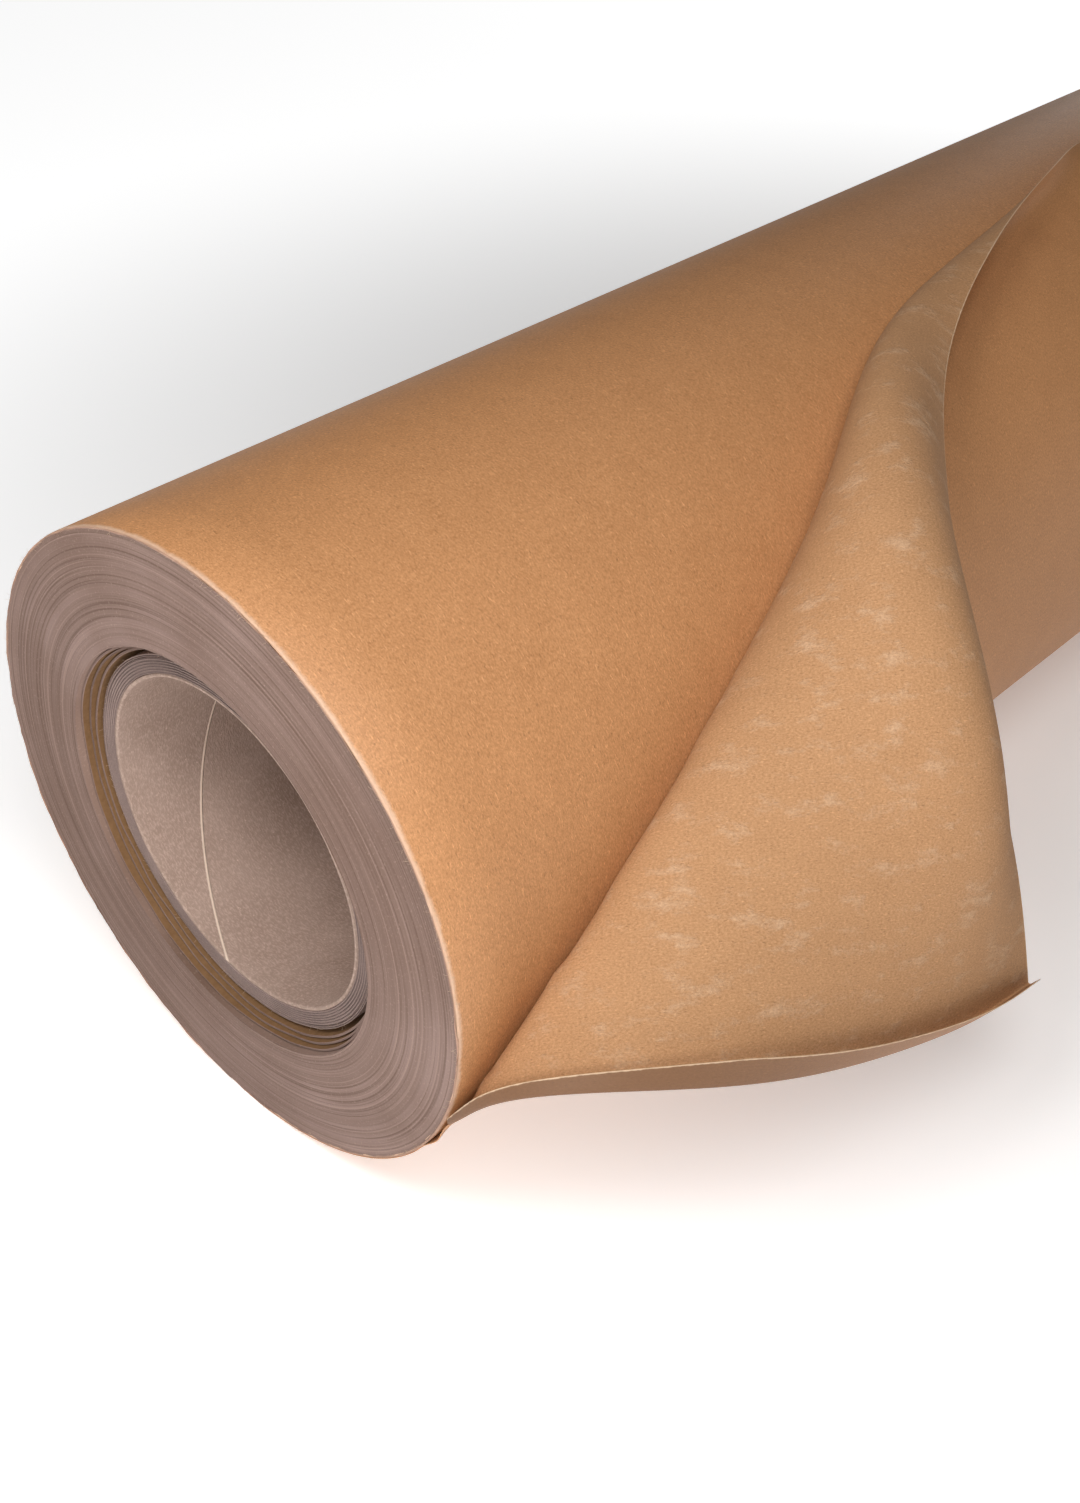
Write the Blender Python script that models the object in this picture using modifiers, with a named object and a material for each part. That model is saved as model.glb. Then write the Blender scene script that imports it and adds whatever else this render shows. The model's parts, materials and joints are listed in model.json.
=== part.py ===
"""A roll of kraft wrapping paper: one long web of paper wound on a spiral-wound cardboard core.

The roll lies on its side with its axis along X. The web is wound from underneath up the -Y side, and
its cut end lies along the top. At the -X end the loose corner is peeled back along a diagonal fold and
stands out over the -Y side. The origin is on the underside, below the axis and halfway along the web.
"""

import math

import bmesh
import bpy
from mathutils import Vector

# The roll.
WEB_WIDTH = 0.600
ROLL_RADIUS = 0.072
BORE_RADIUS = 0.038

# The core is a tube of glued plies: a thin liner, the body plies and a thin outer ply.
CORE_LENGTH = 0.600
LINER_PLY = 0.0008
BODY_PLIES = 0.0030
OUTER_PLY = 0.0009

# The turns nearest the core have crept along it, a little further for each band towards the core.
CORE_CREEP = 0.0045
BAND_CREEP = (0.0038, 0.0026, 0.0013)
BAND_THICKNESS = 0.0006

# The strip of tape that holds the start of the web on the core.
TAPE_WIDTH = 0.025
TAPE_LENGTH = 0.480
TAPE_THICKNESS = 0.0003

# The last turn and the loose end, thick enough here to be solids.
SHEET_THICKNESS = 0.0010
LAST_TURN_FOOT_DEG = -60.0
CUT_END_DEG = 91.0

# Clearances.
GAP = 0.0003
LOOSE_END_LIFT = 0.0022

SEGMENTS = 64
COLUMNS_BETWEEN = 4
LAST_TURN_ROWS = 22
TAPE_STEPS = 6
HALF_STEP = math.pi / SEGMENTS

# The lift-off line, where the sheet leaves the roll: distance from the -X end of the web, then the angle
# round the roll, from 0 at the -Y side to 90 at the top.
LIFT_OFF = (
    (0.000, -28.0),
    (0.024, -4.0),
    (0.048, 10.0),
    (0.072, 20.0),
    (0.096, 29.0),
    (0.144, 40.0),
    (0.192, 54.0),
    (0.240, 68.0),
    (0.285, 80.0),
    (0.330, CUT_END_DEG),
)

# The loose end as sections that run from the lift-off line over the fold to the cut edge. Each section
# has four Bezier points: distance from the -X end, angle round the roll, height over the roll.
LOOSE_END_SECTIONS = (
    ((0.000, -28.0, 0.000), (0.000, 4.0, 0.020), (0.072, -11.0, 0.042), (0.115, -14.5, 0.056)),
    ((0.054, 13.0, 0.006), (0.050, 29.0, 0.022), (0.086, 15.0, 0.016), (0.111, 10.3, 0.040)),
    ((0.108, 32.0, 0.006), (0.104, 50.0, 0.018), (0.122, 42.0, 0.020), (0.135, 34.5, 0.025)),
    ((0.162, 45.0, 0.005), (0.160, 66.0, 0.014), (0.170, 62.0, 0.018), (0.177, 53.6, 0.009)),
    ((0.216, 61.0, 0.003), (0.215, 76.0, 0.010), (0.222, 75.0, 0.012), (0.227, 68.7, 0.005)),
    ((0.258, 73.0, 0.001), (0.260, 83.0, 0.005), (0.264, 84.0, 0.007), (0.267, 77.0, 0.004)),
)
SECTION_STEPS = 14
STEPS_BETWEEN_SECTIONS = 4

# The fold's hinge line: a point near each of its ends, in the same three values.
FOLD_FRONT = (0.005, -12.0, 0.003)
FOLD_REAR = (0.240, 70.0, 0.016)


def clear_scene():
    for obj in list(bpy.data.objects):
        bpy.data.objects.remove(obj, do_unlink=True)


def make_collection(name):
    collection = bpy.data.collections.new(name)
    bpy.context.scene.collection.children.link(collection)
    return collection


def make_material(name, colour, roughness):
    material = bpy.data.materials.new(name)
    material.use_nodes = True
    shader = material.node_tree.nodes["Principled BSDF"]
    shader.inputs["Base Color"].default_value = (*colour, 1.0)
    shader.inputs["Roughness"].default_value = roughness
    shader.inputs["Metallic"].default_value = 0.0
    return material


def make_object(name, mesh, material, collection):
    obj = bpy.data.objects.new(name, mesh)
    mesh.materials.append(material)
    collection.objects.link(obj)
    return obj


def on_roll(along, degrees, height):
    """The point at this distance from the web's -X end, angle round the roll and height over it."""
    angle = math.radians(degrees)
    radius = ROLL_RADIUS / math.cos(HALF_STEP) + height
    return Vector(
        (
            along - WEB_WIDTH / 2,
            -radius * math.cos(angle),
            ROLL_RADIUS + radius * math.sin(angle),
        )
    )


def turned_ring(name, inner, outer, start, length, material, collection):
    """A tube about the roll's axis. Its radii are to the flats of its facets, one of which faces down."""
    corner = 1.0 / math.cos(HALF_STEP)
    profile = (
        (outer, start + length),
        (outer, start),
        (inner, start),
        (inner, start + length),
    )
    mesh = bpy.data.meshes.new(name)
    shape = bmesh.new()
    points = []
    for radius, along in profile:
        reach = radius * corner
        points.append(shape.verts.new((reach * math.cos(HALF_STEP), reach * math.sin(HALF_STEP), along)))
    for index, point in enumerate(points):
        shape.edges.new((point, points[(index + 1) % len(points)]))
    shape.to_mesh(mesh)
    shape.free()
    obj = make_object(name, mesh, material, collection)
    obj.location = (0.0, 0.0, ROLL_RADIUS)
    obj.rotation_euler = (0.0, math.radians(90.0), 0.0)
    screw = obj.modifiers.new("turn", "SCREW")
    screw.axis = "Z"
    screw.angle = 2.0 * math.pi
    screw.screw_offset = 0.0
    screw.steps = SEGMENTS
    screw.render_steps = SEGMENTS
    screw.use_merge_vertices = True
    screw.merge_threshold = 0.00001
    return obj


def sheet_between(name, rows, thickness, material, collection):
    """A sheet through rows of points, thickened to the side away from the roll."""
    mesh = bpy.data.meshes.new(name)
    shape = bmesh.new()
    grid = [[shape.verts.new(point) for point in row] for row in rows]
    for row, following in zip(grid, grid[1:]):
        for index in range(len(row) - 1):
            shape.faces.new((row[index], following[index], following[index + 1], row[index + 1]))
    shape.normal_update()
    shape.to_mesh(mesh)
    shape.free()
    obj = make_object(name, mesh, material, collection)
    solid = obj.modifiers.new("paper", "SOLIDIFY")
    solid.thickness = thickness
    solid.offset = 1.0
    solid.use_even_offset = False
    return obj


def through_points(points, steps):
    """A smooth run of points through these ones, with this many steps between each two."""
    run = []
    padded = [points[0], *points, points[-1]]
    for before, start, end, after in zip(padded, padded[1:], padded[2:], padded[3:]):
        for step in range(steps):
            share = step / steps
            slope_in = (end - before) / 2
            slope_out = (after - start) / 2
            cube, square = share**3, share**2
            run.append(
                start * (2 * cube - 3 * square + 1)
                + slope_in * (cube - 2 * square + share)
                + end * (3 * square - 2 * cube)
                + slope_out * (cube - square)
            )
    run.append(points[-1])
    return run


def bezier(points, share):
    first, second, third, fourth = points
    rest = 1 - share
    return (
        first * rest**3
        + second * (3 * rest**2 * share)
        + third * (3 * rest * share**2)
        + fourth * share**3
    )


def lift_off_angle(along):
    """The angle round the roll at which the sheet leaves it, this far from the web's -X end."""
    for (near, near_angle), (far, far_angle) in zip(LIFT_OFF, LIFT_OFF[1:]):
        if along <= far:
            return near_angle + (far_angle - near_angle) * (along - near) / (far - near)
    return CUT_END_DEG


def core(cardboard, liner_paper, collection):
    """The core's three glued layers. Returns the radius over the outer ply."""
    start = CORE_CREEP - CORE_LENGTH / 2
    radius = BORE_RADIUS
    layers = (
        ("core_liner", LINER_PLY, liner_paper),
        ("core_body", BODY_PLIES, cardboard),
        ("core_outer_ply", OUTER_PLY, liner_paper),
    )
    for name, ply, material in layers:
        turned_ring(name, radius, radius + ply, start, CORE_LENGTH, material, collection)
        radius += ply + GAP
    return radius - GAP


def start_tape(core_radius, material, collection):
    """The tape strip, on the core under the first turn. Returns the radius over it."""
    inner = core_radius / math.cos(HALF_STEP) + GAP
    half_angle = TAPE_WIDTH / inner / 2
    rows = []
    for end in (-TAPE_LENGTH / 2, TAPE_LENGTH / 2):
        row = []
        for step in range(TAPE_STEPS + 1):
            angle = math.pi / 2 - half_angle + 2 * half_angle * step / TAPE_STEPS
            row.append(
                Vector((CORE_CREEP + end, -inner * math.cos(angle), ROLL_RADIUS + inner * math.sin(angle)))
            )
        rows.append(row)
    sheet_between("start_tape", rows, TAPE_THICKNESS, material, collection)
    return inner + TAPE_THICKNESS


def inner_turns(tape_radius, material, collection):
    """The crept bands of turns, from the core outwards. Returns the radius over the last one."""
    radius = tape_radius
    for number, creep in enumerate(BAND_CREEP, start=1):
        inner = radius + GAP
        radius = inner + BAND_THICKNESS
        start = creep - WEB_WIDTH / 2
        turned_ring(f"inner_turns_{number}", inner, radius, start, WEB_WIDTH, material, collection)
    return radius


def last_turn(material, collection):
    """The part of the last turn that still lies on the roll, up to the lift-off line or the cut end."""
    columns = []
    for (near, _), (far, _) in zip(LIFT_OFF, LIFT_OFF[1:]):
        columns.extend(near + (far - near) * step / COLUMNS_BETWEEN for step in range(COLUMNS_BETWEEN))
    columns.extend((LIFT_OFF[-1][0], WEB_WIDTH))
    rows = []
    for along in columns:
        top = lift_off_angle(along)
        row = []
        for step in range(LAST_TURN_ROWS + 1):
            degrees = LAST_TURN_FOOT_DEG + (top - LAST_TURN_FOOT_DEG) * step / LAST_TURN_ROWS
            row.append(on_roll(along, degrees, GAP))
        rows.append(row)
    return sheet_between("last_turn", rows, SHEET_THICKNESS, material, collection)


def loose_end(hinge, material, collection):
    """The peeled corner, lofted through its sections. It turns with the hinge."""
    lines = []
    for line in zip(*LOOSE_END_SECTIONS):
        lines.append(through_points([Vector(point) for point in line], STEPS_BETWEEN_SECTIONS))
    rows = []
    for section in zip(*lines):
        controls = [on_roll(along, degrees, height + LOOSE_END_LIFT) for along, degrees, height in section]
        rows.append([bezier(controls, step / SECTION_STEPS) for step in range(SECTION_STEPS + 1)])
    obj = sheet_between("loose_end", rows, SHEET_THICKNESS, material, collection)
    obj.parent = hinge
    obj.matrix_parent_inverse = hinge.matrix_world.inverted()
    return obj


def fold_hinge(collection):
    """An empty on the fold's hinge line. Its Z axis points along the line to the -X end."""
    front = on_roll(*FOLD_FRONT)
    rear = on_roll(*FOLD_REAR)
    hinge = bpy.data.objects.new("fold_hinge", None)
    hinge.location = (front + rear) / 2
    hinge.rotation_mode = "QUATERNION"
    hinge.rotation_quaternion = (front - rear).to_track_quat("Z", "Y")
    collection.objects.link(hinge)
    bpy.context.view_layer.update()
    return hinge


def build():
    clear_scene()
    collection = make_collection("wrapping_paper_roll")
    kraft = make_material("kraft_paper", (0.50, 0.27, 0.12), 0.65)
    kraft_inside = make_material("kraft_paper_inside", (0.48, 0.29, 0.14), 0.8)
    turn_edges = make_material("wound_turns", (0.33, 0.26, 0.22), 0.9)
    cardboard = make_material("grey_cardboard", (0.27, 0.23, 0.20), 0.9)
    liner_paper = make_material("core_ply_paper", (0.30, 0.26, 0.22), 0.85)
    tape = make_material("paper_tape", (0.55, 0.40, 0.22), 0.6)
    core_radius = core(cardboard, liner_paper, collection)
    tape_radius = start_tape(core_radius, tape, collection)
    band_radius = inner_turns(tape_radius, turn_edges, collection)
    turned_ring(
        "main_turns", band_radius + GAP, ROLL_RADIUS, -WEB_WIDTH / 2, WEB_WIDTH, turn_edges, collection
    )
    last_turn(kraft, collection)
    loose_end(fold_hinge(collection), kraft_inside, collection)


build()
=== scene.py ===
"""A roll of kraft wrapping paper on a cardboard core, with its loose corner peeled back.

Each section below makes one piece or one group of like pieces, from the core outwards to the loose
sheet, and then come the floor, the lights and the camera. Lengths are in metres unless a name says mm.
"""

import json
import math

import bmesh
import bpy
import numpy as np
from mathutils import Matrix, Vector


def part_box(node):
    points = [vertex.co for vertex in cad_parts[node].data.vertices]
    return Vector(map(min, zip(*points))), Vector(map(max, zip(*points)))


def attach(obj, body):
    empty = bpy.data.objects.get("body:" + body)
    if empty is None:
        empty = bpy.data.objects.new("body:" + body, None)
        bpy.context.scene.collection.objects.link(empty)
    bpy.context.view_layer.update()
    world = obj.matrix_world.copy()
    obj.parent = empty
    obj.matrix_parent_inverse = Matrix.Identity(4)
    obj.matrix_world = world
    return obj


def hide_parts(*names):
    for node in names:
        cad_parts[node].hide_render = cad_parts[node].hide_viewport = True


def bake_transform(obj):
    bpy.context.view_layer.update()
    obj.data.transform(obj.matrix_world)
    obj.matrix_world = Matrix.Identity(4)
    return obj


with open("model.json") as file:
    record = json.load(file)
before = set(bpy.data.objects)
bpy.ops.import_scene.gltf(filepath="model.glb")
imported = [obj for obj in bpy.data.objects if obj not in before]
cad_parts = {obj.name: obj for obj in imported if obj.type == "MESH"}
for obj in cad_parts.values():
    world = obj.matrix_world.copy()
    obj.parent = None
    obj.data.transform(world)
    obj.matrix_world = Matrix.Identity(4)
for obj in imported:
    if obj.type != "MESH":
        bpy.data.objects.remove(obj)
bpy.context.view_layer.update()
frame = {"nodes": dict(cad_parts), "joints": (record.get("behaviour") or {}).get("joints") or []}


# ---------------------------------------------------------------------------------------------------
# The core's liner. A grey paper ply wound in a spiral inside the core, so that its edges meet in a
# seam that winds through the bore. The bore's surface is slightly fuzzy, as recycled board is.

AXIS_HEIGHT = 0.072
BORE_RADIUS = 0.0380
LINER_RADIUS = 0.0389
CORE_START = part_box("core_liner")[0].x
CORE_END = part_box("core_liner")[1].x
SEAM_PITCH = 0.111
SEAM_PLACE = 0.0797


class Socket:
    """A number in a shader. Arithmetic on it adds the Math nodes."""

    def __init__(self, tree, link):
        self.tree = tree
        self.link = link

    def math(self, operation, *others):
        values = {index: other for index, other in enumerate((self, *others))}
        return node(self.tree, "ShaderNodeMath", {"operation": operation}, values)

    def __add__(self, other):
        return self.math("ADD", other)

    def __sub__(self, other):
        return self.math("SUBTRACT", other)

    def __rsub__(self, other):
        return node(self.tree, "ShaderNodeMath", {"operation": "SUBTRACT"}, {0: other, 1: self})

    def __mul__(self, other):
        return self.math("MULTIPLY", other)

    def __truediv__(self, other):
        return self.math("DIVIDE", other)

    __radd__ = __add__
    __rmul__ = __mul__

    def between(self, low, high):
        """0 up to low, 1 from high, and smooth in between."""
        settings = {"interpolation_type": "SMOOTHSTEP"}
        values = {"Value": self, "From Min": low, "From Max": high}
        return node(self.tree, "ShaderNodeMapRange", settings, values)


def node(tree, kind, settings=None, values=None, output=0):
    """Adds a node with its settings and its sockets' values or links. Returns one of its outputs."""
    made = tree.nodes.new(kind)
    for name, setting in (settings or {}).items():
        if name == "stops":
            ramp = made.color_ramp
            while len(ramp.elements) < len(setting):
                ramp.elements.new(1.0)
            for element, (place, colour) in zip(ramp.elements, setting):
                element.position = place
                element.color = (*colour, 1.0)
        else:
            setattr(made, name, setting)
    for name, value in (values or {}).items():
        socket = made.inputs[name]
        if isinstance(value, Socket):
            tree.links.new(value.link, socket)
        else:
            socket.default_value = value
    return Socket(tree, made.outputs[output])


def colour_mix(tree, share, first, second, way="MIX"):
    """Two colours mixed by a share. A colour is a link or three numbers."""
    first, second = (c if isinstance(c, Socket) else (*c, 1.0) for c in (first, second))
    settings = {"data_type": "RGBA", "blend_type": way}
    return node(tree, "ShaderNodeMix", settings, {0: share, 6: first, 7: second}, output=2)


def noise(tree, place, scale, detail=2.0, roughness=0.5):
    """Noise from 0 to 1 at a place."""
    values = {"Vector": place, "Scale": scale, "Detail": detail, "Roughness": roughness}
    return node(tree, "ShaderNodeTexNoise", {}, values)


def vector(tree, *parts):
    return node(tree, "ShaderNodeCombineXYZ", {}, dict(enumerate(parts)))


def parts_of(tree, place):
    """The three numbers of a vector."""
    split = tree.nodes.new("ShaderNodeSeparateXYZ")
    tree.links.new(place.link, split.inputs[0])
    return [Socket(tree, output) for output in split.outputs]


def finish(name, paint):
    """A material. paint(tree) returns the shader's values, and a height in metres under 'Height'."""
    material = bpy.data.materials.new(name)
    material.use_nodes = True
    tree = material.node_tree
    shader = tree.nodes["Principled BSDF"]
    values = paint(tree)
    height = values.pop("Height", None)
    if height is not None:
        settings = {"Strength": 1.0, "Distance": 1.0, "Height": height}
        values["Normal"] = node(tree, "ShaderNodeBump", {}, settings)
    for socket, value in values.items():
        if isinstance(value, Socket):
            tree.links.new(value.link, shader.inputs[socket])
        else:
            shader.inputs[socket].default_value = value
    return material


def around_axis(tree):
    """Distance along the roll, distance from its axis, and angle round it in turns."""
    place = node(tree, "ShaderNodeTexCoord", {}, {}, output=3)
    along, side, up = parts_of(tree, place)
    up = up - AXIS_HEIGHT
    radius = (side * side + up * up).math("SQRT")
    turn = up.math("ARCTAN2", side * -1.0) / (2.0 * math.pi)
    return place, along, radius, turn


def ply_paper(tree):
    place, along, radius, turn = around_axis(tree)
    seam = ((along - CORE_START - SEAM_PLACE) / SEAM_PITCH + turn + 0.5).math("FRACT")
    from_seam = (seam - 0.5).math("ABSOLUTE")
    line = 1.0 - from_seam.between(0.0010, 0.0042)
    cloud = noise(tree, place, 60.0, 4.0, 0.6)
    fibre = noise(tree, vector(tree, along * 2600.0, turn * 260.0, radius * 900.0), 1.0, 3.0, 0.65)
    speck = noise(tree, place, 1500.0, 1.0).between(0.70, 0.78)
    colour = colour_mix(tree, cloud, (0.255, 0.170, 0.128), (0.459, 0.334, 0.277))
    colour = colour_mix(tree, fibre.between(0.42, 0.68) * 0.6, colour, (0.561, 0.405, 0.331))
    colour = colour_mix(tree, speck * 0.5, colour, (0.714, 0.525, 0.419))
    colour = colour_mix(tree, line * 0.75, colour, (0.900, 0.710, 0.567))
    height = fibre * 0.00012 + cloud * 0.0001 + line * 0.0002
    return {"Base Color": colour, "Roughness": 0.92, "Height": height, "Specular IOR Level": 0.2}


def ring(name, profile, segments, material, along_steps=1, wave=None):
    """A closed ring turned about the roll's axis. profile is its corners as (along, radius), and wave
    gives each corner's further offset along the roll from its angle and its number."""
    edges = []
    for (x0, r0), (x1, r1) in zip(profile, profile[1:] + profile[:1]):
        steps = along_steps if abs(x1 - x0) > 0.1 else 1
        edges += [(x0 + (x1 - x0) * k / steps, r0 + (r1 - r0) * k / steps) for k in range(steps)]
    angles = np.arange(segments) * 2.0 * math.pi / segments
    points = []
    for x, r in edges:
        offset = wave(angles, x) if wave else 0.0 * angles
        sides = (-r * np.cos(angles), AXIS_HEIGHT + r * np.sin(angles))
        points.append(np.stack((x + offset, *sides), axis=-1))
    points = np.array(points)
    rows, around = len(edges), segments
    faces = []
    for i in range(rows):
        for j in range(around):
            a, b = i * around + j, i * around + (j + 1) % around
            c, d = (i + 1) % rows * around + (j + 1) % around, (i + 1) % rows * around + j
            faces.append((a, b, c, d))
    obj = add_mesh(name, points.reshape(-1, 3), faces, [material])
    shape = bmesh.new()
    shape.from_mesh(obj.data)
    bmesh.ops.recalc_face_normals(shape, faces=shape.faces)
    shape.to_mesh(obj.data)
    shape.free()
    return obj


def add_mesh(name, points, faces, materials, smooth=True):
    mesh = bpy.data.meshes.new(name)
    mesh.from_pydata([tuple(p) for p in points], [], [tuple(f) for f in faces])
    for material in materials:
        mesh.materials.append(material)
    mesh.polygons.foreach_set("use_smooth", [smooth] * len(mesh.polygons))
    mesh.update()
    obj = bpy.data.objects.new(name, mesh)
    bpy.context.scene.collection.objects.link(obj)
    return obj


def ragged(seed, size):
    """A cut end's unevenness round a ring, in metres, different at the two ends."""
    choice = np.random.default_rng(seed)
    count = 26
    sizes = choice.normal(size=(2, count)) / np.arange(1, count + 1) ** 0.7
    phases = choice.random((2, count)) * 2.0 * math.pi
    orders = np.arange(1, count + 1)[:, None]

    def wave(angles, x):
        end = 0 if x < 0 else 1
        if abs(x) < 0.29:
            return 0.0 * angles
        return size * (sizes[end][:, None] * np.cos(orders * angles + phases[end][:, None])).sum(0)

    return wave


ply_finish = finish("ply_paper", ply_paper)
liner = ring(
    "liner_ply",
    [
        (CORE_START + 0.0004, BORE_RADIUS),
        (CORE_START, BORE_RADIUS + 0.0003),
        (CORE_START, LINER_RADIUS),
        (CORE_END, LINER_RADIUS),
        (CORE_END, BORE_RADIUS + 0.0003),
        (CORE_END - 0.0004, BORE_RADIUS),
    ],
    256,
    ply_finish,
    along_steps=12,
    wave=ragged(3, 0.00005),
)
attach(liner, "roll")
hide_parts("core_liner")


# ---------------------------------------------------------------------------------------------------
# The core's body and outer ply. Several grey board plies, glued and wound in a spiral, then cut to
# length with a blade that leaves the plies' edges slightly uneven.

BODY_RADIUS = 0.0425
CORE_RADIUS = 0.0433
BOARD_PLIES = 6


def board(tree):
    place, along, radius, turn = around_axis(tree)
    wander = noise(tree, place, 35.0, 2.0) * 0.0006
    ply = ((radius + wander) * 1700.0).math("FRACT")
    line = 1.0 - (ply - 0.5).math("ABSOLUTE").between(0.02, 0.20)
    cloud = noise(tree, place, 140.0, 4.0, 0.6)
    fibre = noise(tree, place, 2400.0, 3.0, 0.7)
    colour = colour_mix(tree, cloud, (0.207, 0.146, 0.128), (0.332, 0.239, 0.211))
    colour = colour_mix(tree, fibre.between(0.40, 0.75) * 0.5, colour, (0.415, 0.300, 0.262))
    colour = colour_mix(tree, line * 0.50, colour, (0.120, 0.078, 0.064))
    height = fibre * 0.0002 - line * 0.0002
    return {"Base Color": colour, "Roughness": 0.95, "Height": height, "Specular IOR Level": 0.2}


board_finish = finish("grey_board", board)


def cut_plies(inner, outer, count, depth):
    """A tube's profile, with a shallow groove between each two plies at both ends."""
    front = []
    thick = (outer - inner) / count
    for ply in range(count):
        near = inner + ply * thick
        front += [(depth, near), (0.0, near + 0.25 * thick), (0.0, near + 0.8 * thick)]
    front.append((depth, outer))
    return [(CORE_START + x, r) for x, r in front] + [(CORE_END - x, r) for x, r in reversed(front)]


board_pieces = (
    ("core_board", "core_body", LINER_RADIUS + 0.0001, BODY_RADIUS, BOARD_PLIES, "core_board"),
    ("outer_ply", "core_outer_ply", BODY_RADIUS + 0.0001, CORE_RADIUS, 2, "core_ply"),
)
for number, (name, cad_name, inner, outer, plies, slot_name) in enumerate(board_pieces):
    tube = ring(
        name,
        cut_plies(inner, outer, plies, 0.00025),
        256,
        board_finish,
        wave=ragged(11 + number, 0.00009),
    )
    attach(tube, "roll")
    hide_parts(cad_name)


# ---------------------------------------------------------------------------------------------------
# The start tape. A strip of gummed paper tape along the core, which holds the start of the web. It is
# hidden under the first turn, so the solid itself is shown, with a finish.


def gummed_paper(tree):
    place = node(tree, "ShaderNodeTexCoord", {}, {}, output=3)
    fibre = noise(tree, place, 1800.0, 3.0, 0.6)
    colour = colour_mix(tree, fibre, (0.44, 0.31, 0.17), (0.62, 0.46, 0.28))
    return {"Base Color": colour, "Roughness": 0.6, "Height": fibre * 0.00004}


tape = frame["nodes"]["start_tape"]
tape.data.materials.clear()
tape.data.materials.append(finish("gummed_paper", gummed_paper))


# ---------------------------------------------------------------------------------------------------
# The crept turns. The turns nearest the core have slipped along it in three bands. Their walls show the brown
# paper, painted darker than the roll's outside as shade in the recess, and their ends the greyer cut edges of
# the turns.

ROLL_RADIUS = 0.0717
MAIN_INNER = 0.0468
WEB_START = -0.300
WEB_END = 0.300


def turn_edges(tree):
    """Cut edges of the turns on faces across the axis, and brown paper on walls along it."""
    place, along, radius, turn = around_axis(tree)
    facing = node(tree, "ShaderNodeNewGeometry", {}, {}, output=1)
    wall = 1.0 - parts_of(tree, facing)[0].math("ABSOLUTE").between(0.25, 0.60)
    slow = noise(tree, place, 22.0, 3.0, 0.55)
    _, side, up = parts_of(tree, place)
    bend = vector(tree, radius * 2600.0, side * 9.0, up * 9.0)
    fine = noise(tree, bend, 1.0, 2.0, 0.6)
    band = noise(tree, vector(tree, radius * 420.0, side * 6.0, up * 6.0), 1.0, 2.0, 0.5)
    dust = noise(tree, place, 1700.0, 2.0, 0.6)
    colour = colour_mix(tree, slow.between(0.3, 0.7), (0.207, 0.130, 0.101), (0.303, 0.206, 0.174))
    colour = colour_mix(tree, band.between(0.35, 0.62) * 0.5, colour, (0.197, 0.125, 0.097))
    colour = colour_mix(tree, fine.between(0.53, 0.66) * 0.60, colour, (0.111, 0.063, 0.043))
    colour = colour_mix(tree, fine.between(0.46, 0.30) * 0.25, colour, (0.500, 0.346, 0.286))
    colour = colour_mix(tree, dust.between(0.55, 0.75) * 0.30, colour, (0.481, 0.338, 0.279))
    rim = (radius + noise(tree, place, 260.0, 3.0) * 0.0006).between(0.07135, 0.07185)
    colour = colour_mix(tree, rim * 0.55, colour, (0.673, 0.393, 0.264))
    # Painted shade: the walls' paper is far darker than the same kraft on the roll's outside, for the shade
    # in the recess.
    paper = colour_mix(tree, noise(tree, place, 900.0, 3.0), (0.150, 0.074, 0.030), (0.255, 0.140, 0.064))
    colour = colour_mix(tree, wall, colour, paper)
    height = fine * 0.00012 + dust * 0.00006
    return {"Base Color": colour, "Roughness": 0.9, "Height": height, "Specular IOR Level": 0.25}


edge_finish = finish("turn_edges", turn_edges)
BANDS = (
    ("crept_turns_1", "inner_turns_1", 0.0444, 0.0450, 0.0038),
    ("crept_turns_2", "inner_turns_2", 0.04525, 0.0458, 0.0026),
    ("crept_turns_3", "inner_turns_3", 0.04605, 0.0466, 0.0013),
)
for number, (name, cad_name, inner, outer, creep) in enumerate(BANDS):
    middle = (inner + outer) / 2
    front = [(0.0002, inner), (0.0, inner + 0.0001), (0.00025, middle), (0.0, outer - 0.0001)]
    front.append((0.0002, outer))
    profile = [(WEB_START + creep + x, r) for x, r in front]
    profile += [(WEB_END + creep - x, r) for x, r in reversed(front)]
    band = ring(name, profile, 256, edge_finish, wave=ragged(21 + number, 0.00016))
    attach(band, "roll")
    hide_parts(cad_name)


# ---------------------------------------------------------------------------------------------------
# The ends of the wound web. Each turn's cut edge stands a little before or behind its neighbours, in
# one long spiral from the crept bands out to the rim, where handling has roughened the last turns.

TURNS_SHOWN = 112
ROUND_STEPS = 256


def new_tree(name, inputs):
    """A Geometry Nodes tree with these named inputs. Returns it, its inputs and their identifiers."""
    tree = bpy.data.node_groups.new(name, "GeometryNodeTree")
    tree.interface.new_socket("Geometry", in_out="OUTPUT", socket_type="NodeSocketGeometry")
    identifiers = {}
    for input_name, kind in inputs.items():
        made = tree.interface.new_socket(input_name, in_out="INPUT", socket_type="NodeSocket" + kind)
        identifiers[input_name] = made.identifier
    group = tree.nodes.new("NodeGroupInput")
    sockets = {name: Socket(tree, group.outputs[name]) for name in inputs}
    return tree, sockets, identifiers


def end_tree(tree, geometry, material):
    """Realizes the geometry, gives it its material and ends the tree."""
    solid = node(tree, "GeometryNodeRealizeInstances", {}, {"Geometry": geometry})
    painted = node(tree, "GeometryNodeSetMaterial", {}, {"Geometry": solid, "Material": material})
    group = tree.nodes.new("NodeGroupOutput")
    tree.links.new(painted.link, group.inputs[0])


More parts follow.
